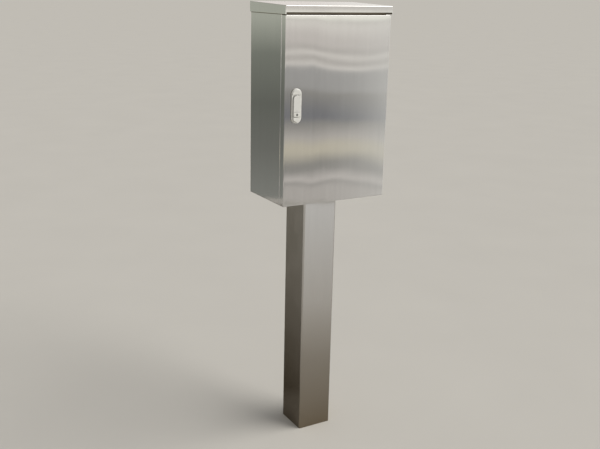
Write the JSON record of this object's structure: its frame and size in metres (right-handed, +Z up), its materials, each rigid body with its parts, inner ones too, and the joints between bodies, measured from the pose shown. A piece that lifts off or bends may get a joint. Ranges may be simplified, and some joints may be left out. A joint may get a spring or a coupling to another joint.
{
  "type": "electrical cabinet on a post",
  "caption": "Tall box of folded stainless sheet with a rain cap and a hinged, gasketed door with a flush swing-handle lock, on a square hollow post.",
  "frame": {"origin": "middle of the post at its foot, where the post stands and its anchor holes are", "axes": "+Z up along the post, +X to the right of someone facing the door, +Y from the door to the back"},
  "size_m": [0.406, 0.2524, 1.5509],
  "materials": {
    "brushed_sheet": "brushed stainless steel sheet",
    "plain_stainless": "plain stainless steel",
    "galvanised_plate": "galvanised steel sheet",
    "zinc_hardware": "zinc plated steel",
    "seal_rubber": "black sealing rubber",
    "white_plastic": "off-white moulded plastic",
    "dark_plastic": "dark grey moulded plastic"
  },
  "bodies": {
    "cabinet": {"post_tube": "brushed_sheet", "post_top_plate": "plain_stainless", "post_foot_plate": "plain_stainless", "body_shell": "brushed_sheet", "rain_cap": "brushed_sheet", "cap_studs": "zinc_hardware", "cap_nuts": "zinc_hardware", "floor_bolts": "zinc_hardware", "floor_bolt_washers": "zinc_hardware", "floor_bolt_nuts": "zinc_hardware", "cable_grommet": "seal_rubber", "mounting_plate": "galvanised_plate", "plate_studs": "zinc_hardware", "plate_spacers": "zinc_hardware", "plate_nuts": "zinc_hardware", "earth_stud": "zinc_hardware", "earth_nuts": "zinc_hardware", "hinge_lower_frame_leaf": "plain_stainless", "hinge_upper_frame_leaf": "plain_stainless", "hinge_lower_pin": "plain_stainless", "hinge_upper_pin": "plain_stainless"},
    "door": {"door_panel": "brushed_sheet", "door_gasket": "seal_rubber", "door_rail_left": "plain_stainless", "door_rail_right": "plain_stainless", "hinge_lower_door_leaf": "plain_stainless", "hinge_upper_door_leaf": "plain_stainless", "door_earth_stud": "zinc_hardware", "door_earth_nut": "zinc_hardware", "lock_gasket": "seal_rubber", "lock_base": "white_plastic", "lock_clamp": "zinc_hardware", "lock_clamp_screws": "zinc_hardware", "button_spring": "plain_stainless"},
    "spindle": {"lock_spindle": "zinc_hardware", "lever_pin": "plain_stainless", "lock_tongue": "zinc_hardware", "tongue_washer": "zinc_hardware", "tongue_screw": "zinc_hardware"},
    "lever": {"lock_lever": "white_plastic", "key_cover": "dark_plastic"},
    "button": {"lock_button": "white_plastic"}
  },
  "joints": [
    {"name": "door_hinge", "type": "hinge", "parent": "cabinet", "child": "door", "pos_m": [0.1915, -0.148, 1.2075], "axis": [0, 0, 1], "range_deg": [0, 105]},
    {"name": "handle_turn", "type": "hinge", "parent": "door", "child": "spindle", "pos_m": [-0.1585, -0.155, 1.2542], "axis": [0, -1, 0], "range_deg": [0, 90]},
    {"name": "lever_tilt", "type": "hinge", "parent": "spindle", "child": "lever", "pos_m": [-0.1585, -0.158, 1.2542], "axis": [-1, 0, 0], "range_deg": [0, 35]},
    {"name": "button_press", "type": "slide", "parent": "door", "child": "button", "axis": [0, 1, 0], "range_m": [0, 0.0025], "stiffness_N_per_m": 400, "springref_m": -0.0015, "deforming": ["button_spring"]}
  ]
}
